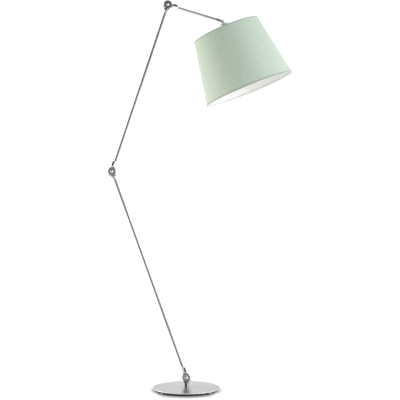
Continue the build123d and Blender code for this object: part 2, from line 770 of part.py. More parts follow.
def make_holder_contacts(frame):
    """The lamp holder's brass screw shell and its sprung centre contact."""
    with BuildPart() as contacts:
        with BuildSketch(section_plane(frame, HOLDER_WELL_FLOOR + 2)):
            Circle(HOLDER_WELL_RADIUS - 0.1)
            Circle(HOLDER_WELL_RADIUS - 0.9, mode=Mode.SUBTRACT)
        extrude(amount=23)
        with BuildSketch(section_plane(frame, HOLDER_WELL_FLOOR)):
            Circle(2.5)
        extrude(amount=3.5)
    save(contacts, "lampholder_contacts")


def make_shade_ring(label, frame, start, end, notches):
    """One of the two threaded rings that clamp the shade's spider to the lamp holder."""
    with BuildPart() as ring:
        with BuildSketch(section_plane(frame, start)):
            Circle(SHADE_RING_RADIUS)
            with PolarLocations(SHADE_RING_RADIUS, notches):
                Circle(0.9, mode=Mode.SUBTRACT)
            Circle(HOLDER_BODY_RADIUS + 0.05, mode=Mode.SUBTRACT)
        extrude(amount=end - start)
    save(ring, label)


def make_bulb(frame):
    """A frosted glass globe, hollow, and its screw base."""
    crown = BULB_CENTRE + BULB_RADIUS
    inside = BULB_RADIUS - GLASS
    neck = (BULB_NECK, BULB_NECK_RADIUS)
    inner_neck = (BULB_NECK, BULB_NECK_RADIUS - GLASS)
    with BuildPart() as glass:
        with BuildSketch(frame):
            with BuildLine():
                Line(inner_neck, neck)
                Spline(neck, (94, 19.5), (BULB_CENTRE, BULB_RADIUS), tangents=[(1, 0.08), (1, 0)])
                RadiusArc((BULB_CENTRE, BULB_RADIUS), (crown, 0), BULB_RADIUS)
                Line((crown, 0), (crown - GLASS, 0))
                RadiusArc((crown - GLASS, 0), (BULB_CENTRE, inside), -inside)
                Spline(
                    (BULB_CENTRE, inside),
                    (94, 19.5 - GLASS),
                    inner_neck,
                    tangents=[(-1, 0), (-1, -0.08)],
                )
            make_face()
        revolve(axis=arm_axis(frame))
    save(glass, "bulb_globe")
    with BuildPart() as base:
        outline = [
            (51.6, 0),
            (51.6, 4.5),
            (54.5, 7.0),
            (56.0, 12.4),
            (57.0, 13.1),
            (BULB_NECK - 2, 13.1),
            (BULB_NECK - 0.1, 13.6),
            (BULB_NECK - 0.1, 0),
        ]
        spin(frame, arm_axis(frame), outline)
    save(base, "bulb_base")


# ---------------------------------------------------------------- shade

def shade_radius(distance, depth):
    """The shade's radius that far along its axis, at a depth below the outside of its cloth."""
    share = (distance - SHADE_TOP) / SHADE_HEIGHT
    return SHADE_TOP_RADIUS + (SHADE_BOTTOM_RADIUS - SHADE_TOP_RADIUS) * share - depth


def make_shade_layer(label, frame, outside, inside):
    """One layer of the conical shade, between two depths below its outer face."""
    bottom = SHADE_TOP + SHADE_HEIGHT
    with BuildPart() as layer:
        outline = [
            (SHADE_TOP, shade_radius(SHADE_TOP, outside)),
            (bottom, shade_radius(bottom, outside)),
            (bottom, shade_radius(bottom, inside)),
            (SHADE_TOP, shade_radius(SHADE_TOP, inside)),
        ]
        spin(frame, arm_axis(frame), outline)
    save(layer, label)


def add_wire_ring(frame, distance):
    """Adds a wire ring that lies against the inside of the shade, and returns its radius."""
    radius = shade_radius(distance, COVER_CLOTH + LINER_CLOTH) - WIRE_RADIUS - 0.1
    with BuildSketch(frame) as wire:
        with Locations((distance, radius)):
            Circle(WIRE_RADIUS)
    revolve(wire.sketch, axis=arm_axis(frame))
    return radius


def make_shade_spider(frame):
    """The shade's top frame: a hub that fits the lamp holder, spokes, and the top wire ring."""
    level = SHADE_TOP + WIRE_INSET
    with BuildPart() as spider:
        ring_radius = add_wire_ring(frame, level)
        across = section_plane(frame, level)
        with BuildSketch(section_plane(frame, level - 1.0)):
            Circle(HUB_RADIUS)
            Circle(HUB_BORE_RADIUS, mode=Mode.SUBTRACT)
        extrude(amount=2.0)
        for number in range(SPOKE_COUNT):
            angle = radians(360 / SPOKE_COUNT * number)
            outward = across.x_dir * cos(angle) + across.y_dir * sin(angle)
            start = across.origin + outward * (HUB_RADIUS - 1)
            with BuildSketch(Plane(origin=start, z_dir=outward)):
                Circle(SPOKE_RADIUS)
            extrude(amount=ring_radius - HUB_RADIUS + 1)
    save(spider, "shade_spider")


def make_shade_bottom_ring(frame):
    with BuildPart() as ring:
        add_wire_ring(frame, SHADE_TOP + SHADE_HEIGHT - WIRE_INSET)
    save(ring, "shade_bottom_ring")


# ---------------------------------------------------------------- assembly

base_hinge = (0, 0, HINGE_HEIGHT)
elbow = arm_end(base_hinge, LOWER_ARM_LEAN, LOWER_ARM_LENGTH)
top_hinge = arm_end(elbow, UPPER_ARM_LEAN, UPPER_ARM_LENGTH)
tilt_hinge = arm_end(top_hinge, HEAD_ARM_LEAN, HEAD_ARM_LENGTH)

# Each frame starts at a hinge and points along one of the pieces that meet there.
stem_up = arm_frame(base_hinge, STEM_LEAN)
lower_start = arm_frame(base_hinge, LOWER_ARM_LEAN)
lower_end = arm_frame(elbow, LOWER_ARM_LEAN + 180)
upper_start = arm_frame(elbow, UPPER_ARM_LEAN)
upper_end = arm_frame(top_hinge, UPPER_ARM_LEAN + 180)
head_start = arm_frame(top_hinge, HEAD_ARM_LEAN)
head_end = arm_frame(tilt_hinge, HEAD_ARM_LEAN)
shade_frame = arm_frame(tilt_hinge, SHADE_LEAN)

# Base
make_base_cover()
make_base_weight()
make_feet()
make_centre_pad()
make_stem_fixings()
make_cable_gland()
make_stem("stem", stem_up, 1)
make_hinge_hardware("base_hinge", stem_up, 1)

# Lower arm and elbow
make_long_socket("lower_arm_start_socket", lower_start, -1)
make_wiring_cap("lower_arm_wiring_cap", lower_start, -1)
make_tube("lower_arm_tube", lower_start, SOCKET_FLOOR, LOWER_ARM_LENGTH - TAPER_FLOOR)
make_cable("lower_arm_cable", lower_start, SOCKET_FLOOR, LOWER_ARM_LENGTH - TAPER_FLOOR)
make_taper_socket("lower_arm_end_socket", lower_end, -1)
lower_screws = [(lower_start, LONG_SET_SCREW, 4.0), (lower_end, TAPER_SET_SCREW, 3.4)]
make_set_screws("lower_arm_set_screws", lower_screws)
make_hinge_hardware("elbow", lower_end, -1)

# Upper arm and top hinge
make_long_socket("upper_arm_start_socket", upper_start, 1)
make_wiring_cap("upper_arm_wiring_cap", upper_start, 1)
make_tube("upper_arm_tube", upper_start, SOCKET_FLOOR, UPPER_ARM_LENGTH - TAPER_FLOOR)
make_cable("upper_arm_cable", upper_start, SOCKET_FLOOR, UPPER_ARM_LENGTH - TAPER_FLOOR)
make_taper_socket("upper_arm_end_socket", upper_end, -1)
upper_screws = [(upper_start, LONG_SET_SCREW, 4.0), (upper_end, TAPER_SET_SCREW, 3.4)]
make_set_screws("upper_arm_set_screws", upper_screws)
make_hinge_hardware("top_hinge", upper_end, -1)

# Head arm
make_long_socket("head_arm_start_socket", head_start, 1)
make_wiring_cap("head_arm_wiring_cap", head_start, 1)
make_tube("head_arm_tube", head_start, SOCKET_FLOOR, FORK_START + FORK_TUBE_DEPTH)
make_cable("head_arm_cable", head_start, SOCKET_FLOOR, FORK_START + FORK_TUBE_DEPTH)
make_fork(head_start)
head_screws = [(head_start, LONG_SET_SCREW, 4.0), (head_start, FORK_SET_SCREW, 1.3)]
make_set_screws("head_arm_set_screws", head_screws)
make_tilt_screw(head_end)
make_tilt_nut(head_end)

# Shade and lamp holder
make_tilt_tab(shade_frame)
make_holder_cap(shade_frame)
make_holder_body(shade_frame)
make_holder_contacts(shade_frame)
make_shade_ring("shade_ring_upper", shade_frame, SHADE_TOP - 0.8, SHADE_TOP + 2.0, 24)
make_shade_ring("shade_ring_lower", shade_frame, SHADE_TOP + 4.0, SHADE_TOP + 8.0, 24)
make_bulb(shade_frame)
make_shade_spider(shade_frame)
make_shade_bottom_ring(shade_frame)
make_shade_layer("shade_cover", shade_frame, 0, COVER_CLOTH)
make_shade_layer("shade_liner", shade_frame, COVER_CLOTH, COVER_CLOTH + LINER_CLOTH)
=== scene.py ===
import json
from math import atan2, cos, hypot, pi, radians, sin, tan, tau

import bmesh
import bpy
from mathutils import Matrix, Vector
from mathutils.noise import noise


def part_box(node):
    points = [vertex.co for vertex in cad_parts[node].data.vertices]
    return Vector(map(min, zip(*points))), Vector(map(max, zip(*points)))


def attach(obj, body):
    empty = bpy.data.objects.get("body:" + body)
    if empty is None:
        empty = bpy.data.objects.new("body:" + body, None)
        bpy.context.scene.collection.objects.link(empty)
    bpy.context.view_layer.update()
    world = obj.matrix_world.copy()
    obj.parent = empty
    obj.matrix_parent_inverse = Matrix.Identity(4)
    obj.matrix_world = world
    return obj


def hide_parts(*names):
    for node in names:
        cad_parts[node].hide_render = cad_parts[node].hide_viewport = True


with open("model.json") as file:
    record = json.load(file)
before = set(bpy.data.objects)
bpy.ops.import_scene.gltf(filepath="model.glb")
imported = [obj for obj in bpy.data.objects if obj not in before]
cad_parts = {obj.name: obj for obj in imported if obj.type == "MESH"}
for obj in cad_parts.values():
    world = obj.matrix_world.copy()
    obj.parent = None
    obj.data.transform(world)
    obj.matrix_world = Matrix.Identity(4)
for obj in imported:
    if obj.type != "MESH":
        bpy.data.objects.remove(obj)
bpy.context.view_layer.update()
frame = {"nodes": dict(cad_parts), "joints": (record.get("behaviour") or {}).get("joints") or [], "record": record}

NODES = frame["nodes"]
HINGE = {joint["name"]: Vector(joint["pos_m"]) for joint in frame["joints"]}
UP = Vector((0, 0, 1))
BACK = Vector((0, 1, 0))

# ---------------------------------------------------------------- camera and light, metres

CAMERA_PLACE = Vector((0.0618, -4.297, 0.853))
CAMERA_LENS = 86.0
GROUND_SEEN = 1.15
ROOM_FRONT, ROOM_BACK = 0.03, 0.95
ROOM_DARK_FROM, ROOM_LIGHT_FROM = -0.9, -0.1
AIM_BELOW_HEAD = 0.3
LEFT_SOFTBOX = {"place": (-3.1, 0.9, 1.5), "size": (2.0, 3.2), "power": 65, "colour": (1.0, 0.87, 0.85)}
RIGHT_SOFTBOX = {"place": (3.0, -1.2, 1.4), "size": (2.0, 2.8), "power": 79, "colour": (0.87, 0.87, 1.0)}

# The floor's painted contact shadow, a dark band round the base, and its bright ground, by distance from the
# base's middle.
FLOOR_RADIUS = 60.0
SHADOW_SHIFT = 0.012
SHADOW_SIDES, SHADOW_SIDES_WIDTH = (0.108, 0.132), 0.026
SHADOW_BAND = (0.140, 0.190)
NEAR_GLOW, NEAR_GLOW_REACH = 0.45, (0.160, 0.205)
FAR_GLOW, FAR_GLOW_REACH = 0.45, (2.5, 7.0)


def make_camera():
    camera = bpy.data.objects.new("camera", bpy.data.cameras.new("camera"))
    camera.data.lens = CAMERA_LENS
    camera.location = CAMERA_PLACE
    camera.rotation_euler = (radians(90), 0, 0)
    bpy.context.scene.collection.objects.link(camera)
    bpy.context.scene.camera = camera


def make_softbox(name, place, aim, size, power, colour):
    """A rectangular area light at a place, turned to face the aim."""
    light = bpy.data.objects.new(name, bpy.data.lights.new(name, "AREA"))
    light.data.shape = "RECTANGLE"
    light.data.size, light.data.size_y = size
    light.data.energy = power
    light.data.color = colour
    light.location = place
    light.rotation_euler = (Vector(aim) - Vector(place)).to_track_quat("-Z", "Y").to_euler()
    light.visible_camera = False
    bpy.context.scene.collection.objects.link(light)


def make_studio():
    """A white ground for the camera, and for all other rays a room that is dim in front of the lamp, so
    that metal has something dark to reflect, with a warm softbox on the left and a cool one on the right."""
    world = bpy.data.worlds.new("studio")
    bpy.context.scene.world = world
    world.use_nodes = True
    tree = world.node_tree
    seen = tree.nodes["Background"]
    seen.inputs["Color"].default_value = (1, 1, 1, 1)
    seen.inputs["Strength"].default_value = GROUND_SEEN
    direction = tree.nodes.new("ShaderNodeTexCoord").outputs["Generated"]
    apart = tree.nodes.new("ShaderNodeSeparateXYZ")
    tree.links.new(direction, apart.inputs[0])
    depth = tree.nodes.new("ShaderNodeMapRange")
    depth.interpolation_type = "SMOOTHSTEP"
    tree.links.new(apart.outputs["Y"], depth.inputs[0])
    for socket, value in enumerate((ROOM_DARK_FROM, ROOM_LIGHT_FROM, ROOM_FRONT, ROOM_BACK), start=1):
        depth.inputs[socket].default_value = value
    lighting = tree.nodes.new("ShaderNodeBackground")
    tree.links.new(depth.outputs[0], lighting.inputs["Strength"])
    rays = tree.nodes.new("ShaderNodeLightPath")
    blend = tree.nodes.new("ShaderNodeMixShader")
    tree.links.new(rays.outputs["Is Camera Ray"], blend.inputs["Fac"])
    tree.links.new(lighting.outputs["Background"], blend.inputs[1])
    tree.links.new(seen.outputs["Background"], blend.inputs[2])
    tree.links.new(blend.outputs["Shader"], tree.nodes["World Output"].inputs["Surface"])
    aim = HINGE["shade_tilt"] - UP * AIM_BELOW_HEAD
    make_softbox("left_softbox", aim=aim, **LEFT_SOFTBOX)
    make_softbox("right_softbox", aim=aim, **RIGHT_SOFTBOX)
    bpy.context.scene.view_settings.view_transform = "Standard"


# ---------------------------------------------------------------- material nodes

class Graph:
    """A material's node tree, with one short call for each kind of node."""

    def __init__(self, name):
        self.material = bpy.data.materials.new(name)
        self.material.use_nodes = True
        self.tree = self.material.node_tree
        self.shader = self.tree.nodes["Principled BSDF"]

    def node(self, kind, sockets, **settings):
        made = self.tree.nodes.new("ShaderNode" + kind)
        for key, value in settings.items():
            setattr(made, key, value)
        for socket, value in sockets.items():
            self.put(made.inputs[socket], value)
        return made

    def put(self, socket, value):
        if isinstance(value, bpy.types.NodeSocket):
            self.tree.links.new(value, socket)
        else:
            socket.default_value = value

    def set(self, **sockets):
        """Sets the shader's own sockets, named in lower case with underscores."""
        names = {s.name.lower().replace(" ", "_"): s for s in self.shader.inputs}
        for key, value in sockets.items():
            self.put(names[key], value)

    def place(self, scale=(1, 1, 1), turn=0.0):
        """Object coordinates in metres, scaled along X, Y and Z."""
        where = self.node("TexCoord", {}).outputs["Object"]
        return self.node("Mapping", {"Vector": where, "Scale": scale, "Rotation": (0, 0, turn)}).outputs[0]

    def flat(self, scale=(1, 1, 1), turn=0.0):
        """The surface's own flat coordinates in metres, scaled."""
        where = self.node("TexCoord", {}).outputs["UV"]
        return self.node("Mapping", {"Vector": where, "Scale": scale, "Rotation": (0, 0, turn)}).outputs[0]

    def noise(self, where, scale, detail=3.0, roughness=0.5):
        sockets = {"Vector": where, "Scale": scale, "Detail": detail, "Roughness": roughness}
        return self.node("TexNoise", sockets).outputs["Fac"]

    def math(self, operation, *values):
        return self.node("Math", dict(enumerate(values)), operation=operation).outputs[0]

    def fit(self, value, low, high, to_low, to_high):
        """Maps a range of values onto another range, held at its ends."""
        sockets = {0: value, 1: low, 2: high, 3: to_low, 4: to_high}
        return self.node("MapRange", sockets).outputs[0]

    def spread(self, value, to_low, to_high):
        """Maps the middle range of a noise, where most of its values are, onto another range."""
        return self.fit(value, 0.3, 0.7, to_low, to_high)

    def blend(self, share, first, second):
        """A colour between two others."""
        made = self.node("Mix", {0: share}, data_type="RGBA")
        self.put(made.inputs[6], first)
        self.put(made.inputs[7], second)
        return made.outputs[2]

    def bump(self, height, distance, strength=1.0, under=None):
        sockets = {"Height": height, "Distance": distance, "Strength": strength}
        if under is not None:
            sockets["Normal"] = under
        return self.node("Bump", sockets).outputs["Normal"]


def colour(red, green, blue):
    return (red, green, blue, 1.0)


def grey(level):
    return colour(level, level, level)


# ---------------------------------------------------------------- materials

CLOTH_PITCH, HEM_PITCH = 0.0011, 0.0009
# Painted light: where along the flat pattern the cloth turns lighter towards the wide end, and by how much.
PAINTED_LIGHT_REACH, PAINTED_LIGHT_SHIFT = (0.84, 1.12), (-0.06, 0.22)
WEAR_REACH = 0.0009


def weave(graph, where, pitch):
    """The height, from 0 to 1, of a plain weave of two sets of threads that pitch apart."""
    apart = graph.node("SeparateXYZ", {0: where})
    across = graph.math("MULTIPLY", apart.outputs[0], pi / pitch)
    along = graph.math("MULTIPLY", apart.outputs[1], pi / pitch)
    warp = graph.math("SINE", across)
    weft = graph.math("SINE", along)
    crossing = graph.math("MULTIPLY", graph.math("COSINE", across), graph.math("COSINE", along))
    over = graph.fit(crossing, -1, 1, 0, 1)
    warp_height = graph.math("MULTIPLY", graph.math("ABSOLUTE", warp), over)
    weft_height = graph.math("MULTIPLY", graph.math("ABSOLUTE", weft), graph.math("SUBTRACT", 1.0, over))
    return graph.math("MAXIMUM", warp_height, weft_height)


def make_fabric(name, light, dark, pitch=CLOTH_PITCH):
    """Fine slubbed cloth, laminated flat: woven threads, thicker runs of yarn, a soft uneven dye, and painted
    light that makes it a little lighter towards the wide end of the shade, standing in for floor bounce."""
    graph = Graph(name)
    where = graph.flat()
    threads = weave(graph, where, pitch)
    warp_slub = graph.noise(graph.flat((1100, 26, 1)), 1.0, 2.0)
    weft_slub = graph.noise(graph.flat((22, 1100, 1)), 1.0, 2.0)
    slub = graph.math("MAXIMUM", warp_slub, weft_slub)
    patches = graph.noise(where, 40.0, 4.0, 0.6)
    depth = graph.math("MULTIPLY", threads, graph.fit(slub, 0.45, 0.75, 0.75, 1.15))
    shade = graph.math("ADD", graph.fit(depth, 0.15, 0.95, 0.0, 0.5), graph.fit(slub, 0.5, 0.75, 0.0, 0.3))
    shade = graph.math("ADD", shade, graph.spread(patches, 0.0, 0.2))
    # Painted light: the cloth is lighter towards the wide end, standing in for light bounced up from the floor.
    reach = graph.node("VectorMath", {0: where}, operation="LENGTH").outputs["Value"]
    shade = graph.math("ADD", shade, graph.fit(reach, *PAINTED_LIGHT_REACH, *PAINTED_LIGHT_SHIFT))
    graph.set(
        base_color=graph.blend(shade, dark, light),
        roughness=graph.fit(slub, 0.4, 0.8, 0.92, 0.78),
        sheen_weight=0.12,
        sheen_roughness=0.5,
        sheen_tint=(0.9, 1.0, 0.92, 1.0),
        specular_ior_level=0.3,
        normal=graph.bump(graph.math("ADD", depth, graph.math("MULTIPLY", slub, 0.6)), 0.00025, 0.6),
    )
    return graph.material


def make_liner():
    """White laminate with the cloth's weave pressed faintly through it."""
    graph = Graph("white_liner")
    threads = weave(graph, graph.flat(), CLOTH_PITCH)
    cloud = graph.noise(graph.flat(), 14.0, 5.0, 0.6)
    graph.set(
        base_color=graph.blend(
            graph.spread(cloud, 0, 1), colour(0.69, 0.70, 0.64), colour(0.76, 0.78, 0.73)
        ),
        roughness=graph.spread(cloud, 0.42, 0.55),
        normal=graph.bump(graph.math("ADD", threads, cloud), 0.0001, 0.5),
    )
    return graph.material


def edge_wear(graph, reach=WEAR_REACH):
    """A mask, from 0 to 1, of the outer edges that handling rubs."""
    inside = graph.node("AmbientOcclusion", {"Distance": reach}, inside=True, samples=4).outputs["AO"]
    patchy = graph.noise(graph.place(), 900.0, 3.0)
    return graph.math("MULTIPLY", graph.fit(inside, 0.86, 0.55, 0, 1), graph.fit(patchy, 0.35, 0.6, 0.2, 1))


def make_metal(name, dark, light, roughness, grain, streak=(1, 1, 1), wear=0.6, bump=0.00002, metallic=1.0):
    """Plated metal: a fine grain stretched along the brushing, cloudy patches, smudges and worn edges."""
    graph = Graph(name)
    brushed = graph.noise(graph.place(streak), grain, 4.0, 0.65)
    cloudy = graph.noise(graph.place(), 38.0, 4.0, 0.6)
    smudge = graph.noise(graph.place(), 120.0, 2.0)
    body = graph.blend(graph.spread(brushed, 0, 1), dark, light)
    clouded = graph.blend(graph.fit(cloudy, 0.35, 0.75, 0, 0.35), body, dark)
    worn = tuple(min(1.0, c * 1.35 + 0.05) for c in light[:3]) + (1.0,)
    finish = graph.math("ADD", graph.spread(brushed, roughness - 0.05, roughness + 0.06),
                        graph.fit(smudge, 0.5, 0.75, 0.0, 0.09))
    surface = clouded
    if wear:
        surface = graph.blend(graph.math("MULTIPLY", edge_wear(graph), wear), clouded, worn)
    graph.set(
        base_color=surface,
        metallic=metallic,
        roughness=finish,
        normal=graph.bump(brushed, bump, 0.6),
    )
    return graph.material


def make_satin_plate():
    """Pale bead-blasted nickel on the barrels: a soft, nearly white sheen with fine pits and rubbed edges."""
    graph = Graph("bright_nickel")
    pits = graph.noise(graph.place(), 1600.0, 3.0, 0.6)
    cloudy = graph.noise(graph.place(), 60.0, 4.0, 0.6)
    body = graph.blend(graph.spread(cloudy, 0, 1), colour(0.86, 0.86, 0.85), colour(0.94, 0.94, 0.93))
    pitted = graph.blend(graph.fit(pits, 0.35, 0.2, 0, 0.5), body, colour(0.55, 0.55, 0.54))
    graph.set(
        base_color=graph.blend(edge_wear(graph), pitted, colour(0.98, 0.98, 0.97)),
        metallic=0.55,
        roughness=graph.spread(pits, 0.38, 0.52),
        normal=graph.bump(pits, 0.00003, 0.5),
    )
    return graph.material


def make_brushed_tube(name, dark, light):
    """Satin plated tube, polished lengthways: long fine lines, faint rings of handling and cloudy patches."""
    graph = Graph(name)
    lines = graph.noise(graph.flat((1800, 5, 1)), 1.0, 3.0, 0.6)
    cloudy = graph.noise(graph.flat((30, 6, 1)), 1.0, 4.0, 0.6)
    marks = graph.noise(graph.place(), 260.0, 3.0)
    body = graph.blend(graph.spread(lines, 0, 1), dark, light)
    graph.set(
        base_color=graph.blend(graph.fit(cloudy, 0.4, 0.7, 0, 0.4), body, dark),
        metallic=1.0,
        roughness=graph.math(
            "ADD", graph.spread(lines, 0.34, 0.42), graph.fit(marks, 0.5, 0.75, 0, 0.08)
        ),
        normal=graph.bump(lines, 0.000008, 0.4),
    )
    return graph.material


def make_spun_steel():
    """The base cover: satin sheet steel, brushed round its middle, with fine scratches and dulled patches."""
    graph = Graph("satin_steel")
    rings = graph.noise(graph.flat((7, 2300, 1)), 1.0, 4.0, 0.7)
    cloudy = graph.noise(graph.place(), 11.0, 5.0, 0.6)
    scratch = graph.noise(graph.place((14, 900, 1), 0.6), 1.0, 2.0, 0.5)
    hairline = graph.fit(scratch, 0.73, 0.78, 0, 1)
    body = graph.blend(graph.spread(rings, 0, 1), grey(0.76), grey(0.88))
    cleaned = graph.blend(graph.fit(cloudy, 0.35, 0.7, 0, 0.3), body, grey(0.72))
    graph.set(
        base_color=graph.blend(graph.math("MULTIPLY", hairline, 0.35), cleaned, colour(0.85, 0.85, 0.84)),
        metallic=1.0,
        roughness=graph.math("ADD", graph.spread(rings, 0.24, 0.34), graph.fit(cloudy, 0.4, 0.7, 0, 0.07)),
        anisotropic=0.55,
        normal=graph.bump(rings, 0.00002, 0.5),
    )
    return graph.material


def make_cast_iron():
    """Black paint over a sand-cast surface, thin on the high grains."""
    graph = Graph("cast_iron")
    sand = graph.noise(graph.place(), 900.0, 5.0, 0.7)
    lumps = graph.noise(graph.place(), 90.0, 3.0)
    thin = graph.fit(sand, 0.62, 0.75, 0, 0.7)
    graph.set(
        base_color=graph.blend(thin, colour(0.022, 0.022, 0.023), colour(0.12, 0.10, 0.09)),
        roughness=graph.spread(sand, 0.5, 0.8),
        metallic=0.2,
        normal=graph.bump(graph.math("ADD", sand, lumps), 0.0004, 0.8),
    )
    return graph.material


def make_plastic(name, dark, light, roughness, grain=1500.0, depth=0.00003, coat=0.0, shine=0.5):
    """Moulded plastic or rubber: a fine grain, flow marks and rubbed patches."""
    graph = Graph(name)
    pores = graph.noise(graph.place(), grain, 3.0, 0.6)
    flow = graph.noise(graph.place((1, 1, 0.4)), 70.0, 4.0, 0.6)
    rubbed = graph.fit(graph.noise(graph.place(), 210.0, 3.0), 0.45, 0.7, 0, 0.5)
    body = graph.blend(graph.spread(flow, 0, 1), dark, light)
    lighter = tuple(min(1.0, c * 1.15 + 0.01) for c in light[:3]) + (1.0,)
    graph.set(
        base_color=graph.blend(rubbed, body, lighter),
        roughness=graph.spread(pores, roughness - 0.07, roughness + 0.07),
        coat_weight=coat,
        specular_ior_level=shine,
        normal=graph.bump(graph.math("ADD", pores, flow), depth, 0.6),
    )
    return graph.material


def make_clear_rubber():
    """Cloudy clear rubber with a matt skin."""
    graph = Graph("clear_rubber")
    haze = graph.noise(graph.place(), 240.0, 4.0, 0.6)
    dust = graph.noise(graph.place(), 1300.0, 3.0)
    graph.set(
        base_color=graph.blend(
            graph.spread(haze, 0, 1), colour(0.78, 0.80, 0.76), colour(0.90, 0.91, 0.88)
        ),
        roughness=graph.spread(dust, 0.28, 0.48),
        transmission_weight=0.35,
        ior=1.42,
        normal=graph.bump(dust, 0.00005, 0.5),
    )
    return graph.material


def make_opal_glass():
    """The bulb's frosted globe: white inside coating under smooth glass."""
    graph = Graph("frosted_glass")
    coating = graph.noise(graph.place(), 160.0, 5.0, 0.6)
    dust = graph.noise(graph.place(), 1400.0, 2.0)
    graph.set(
        base_color=graph.blend(
            graph.spread(coating, 0, 1), colour(0.86, 0.86, 0.84), colour(0.93, 0.93, 0.91)
        ),
        roughness=graph.fit(dust, 0.4, 0.7, 0.14, 0.26),
        subsurface_weight=0.3,
        subsurface_radius=(0.01, 0.01, 0.01),
        subsurface_scale=0.3,
        coat_weight=0.3,
        normal=graph.bump(coating, 0.00005, 0.3),
    )
    return graph.material


def make_powder_coat():
    """White powder coat on the shade's wires, with an orange-peel skin."""
    graph = Graph("white_wire")
    peel = graph.noise(graph.place(), 700.0, 3.0, 0.5)
    chips = graph.fit(graph.noise(graph.place(), 420.0, 4.0), 0.70, 0.74, 0, 0.8)
    graph.set(
        base_color=graph.blend(chips, colour(0.82, 0.82, 0.79), colour(0.45, 0.45, 0.44)),
        roughness=graph.spread(peel, 0.32, 0.46),
        normal=graph.bump(peel, 0.00012, 0.6),
    )
    return graph.material


MATERIALS = {
    "green_fabric": make_fabric("green_fabric", colour(0.60, 0.70, 0.585), colour(0.45, 0.55, 0.43)),
    # Painted shade: the hem is the same cloth in a darker copy, standing in for the shade along the rolled rims.
    "hem_fabric": make_fabric("hem_fabric", colour(0.52, 0.58, 0.50), colour(0.38, 0.43, 0.365), HEM_PITCH),
    "white_liner": make_liner(),
    "satin_steel": make_spun_steel(),
    "nickel_tube": make_brushed_tube("nickel_tube", grey(0.20), grey(0.25)),
    # Painted light: the head arm's tube has the other tubes' finish, in a lighter copy for how light falls on it.
    "head_tube": make_brushed_tube("head_tube", grey(0.42), grey(0.48)),
    "sleeve": make_metal("sleeve", grey(0.34), grey(0.42), 0.36, 700.0),
    "nickel": make_metal(
        "nickel", colour(0.66, 0.66, 0.65), colour(0.76, 0.76, 0.75), 0.42, 700.0, metallic=0.5
    ),
    "bright_nickel": make_satin_plate(),
    "polished_nickel": make_metal(
        "polished_nickel", colour(0.62, 0.62, 0.60), colour(0.74, 0.74, 0.72), 0.12, 500.0,
        wear=0.3, bump=0.00001,
    ),
    "dark_nickel": make_metal(
        "dark_nickel", grey(0.34), grey(0.46), 0.22, 900.0, metallic=0.82
    ),
    "black_nickel": make_metal("black_nickel", grey(0.22), grey(0.31), 0.15, 900.0),
    "zinc_steel": make_metal("zinc_steel", colour(0.48, 0.50, 0.52), colour(0.62, 0.63, 0.64), 0.30, 800.0),
    "dark_steel": make_metal("dark_steel", grey(0.04), grey(0.07), 0.38, 900.0),
    "brass": make_metal("brass", colour(0.55, 0.38, 0.13), colour(0.72, 0.52, 0.20), 0.28, 700.0),
    "bulb_shell": make_metal("bulb_shell", colour(0.62, 0.62, 0.61), colour(0.75, 0.75, 0.74), 0.24, 600.0),
    "cast_iron": make_cast_iron(),
    "clear_rubber": make_clear_rubber(),
    "black_rubber": make_plastic(
        "black_rubber", grey(0.045), grey(0.07), 0.8, shine=0.1
    ),
    "black_plastic": make_plastic("black_plastic", colour(0.015, 0.015, 0.016), grey(0.03), 0.45),
    "cable_sheath": make_plastic("cable_sheath", colour(0.62, 0.62, 0.58), colour(0.70, 0.70, 0.66), 0.4),
    "felt": make_plastic("felt", grey(0.03), grey(0.07), 0.9, 1800.0, 0.0004),
    "fibre": make_plastic("fibre", colour(0.20, 0.10, 0.045), colour(0.34, 0.19, 0.09), 0.75, 700.0, 0.0001),
    "lampholder_plastic": make_plastic(
        "lampholder_plastic", colour(0.76, 0.76, 0.71), colour(0.84, 0.84, 0.79), 0.3, coat=0.2
    ),
    "frosted_glass": make_opal_glass(),
    "white_wire": make_powder_coat(),
}


# ---------------------------------------------------------------- outlines and turned shapes

def span(node, origin, axis):
    """How far a CAD node reaches along an axis, and its largest radius at each of the two ends."""
    places = []
    for vertex in NODES[node].data.vertices:
        offset = vertex.co - origin
        height = offset.dot(axis)
        places.append((height, (offset - axis * height).length))
    low = min(height for height, _ in places)
    high = max(height for height, _ in places)
    low_radius = max(radius for height, radius in places if height < low + 1e-5)
    high_radius = max(radius for height, radius in places if height > high - 1e-5)
    return low, high, low_radius, high_radius


def rounded(points, radius, steps=5):
    """An open outline of (radius, height) points with each of its inner corners rounded off."""
    points = [Vector(p) for p in points]
    outline = [points[0]]
    for before, corner, after in zip(points, points[1:], points[2:]):
        back, on = before - corner, after - corner
        half = back.angle(on) / 2
        if half > radians(88):
            outline.append(corner)
            continue
        reach = min(radius / tan(half), 0.48 * back.length, 0.48 * on.length)
        middle = (back.normalized() + on.normalized()).normalized()
        centre = corner + middle * (reach / cos(half))
        start = corner + back.normalized() * reach - centre
        end = corner + on.normalized() * reach - centre
        first = atan2(start.y, start.x)
        turn = (atan2(end.y, end.x) - first + pi) % tau - pi
        for step in range(steps + 1):
            angle = first + turn * step / steps
            outline.append(centre + Vector((cos(angle), sin(angle))) * start.length)
    outline.append(points[-1])
    return outline


def arc(centre, radius, first, last, steps):
    """Points on a circle's arc, from one angle in degrees to another."""
    angles = [radians(first + (last - first) * step / steps) for step in range(steps + 1)]
    return [Vector(centre) + Vector((cos(a), sin(a))) * radius for a in angles]


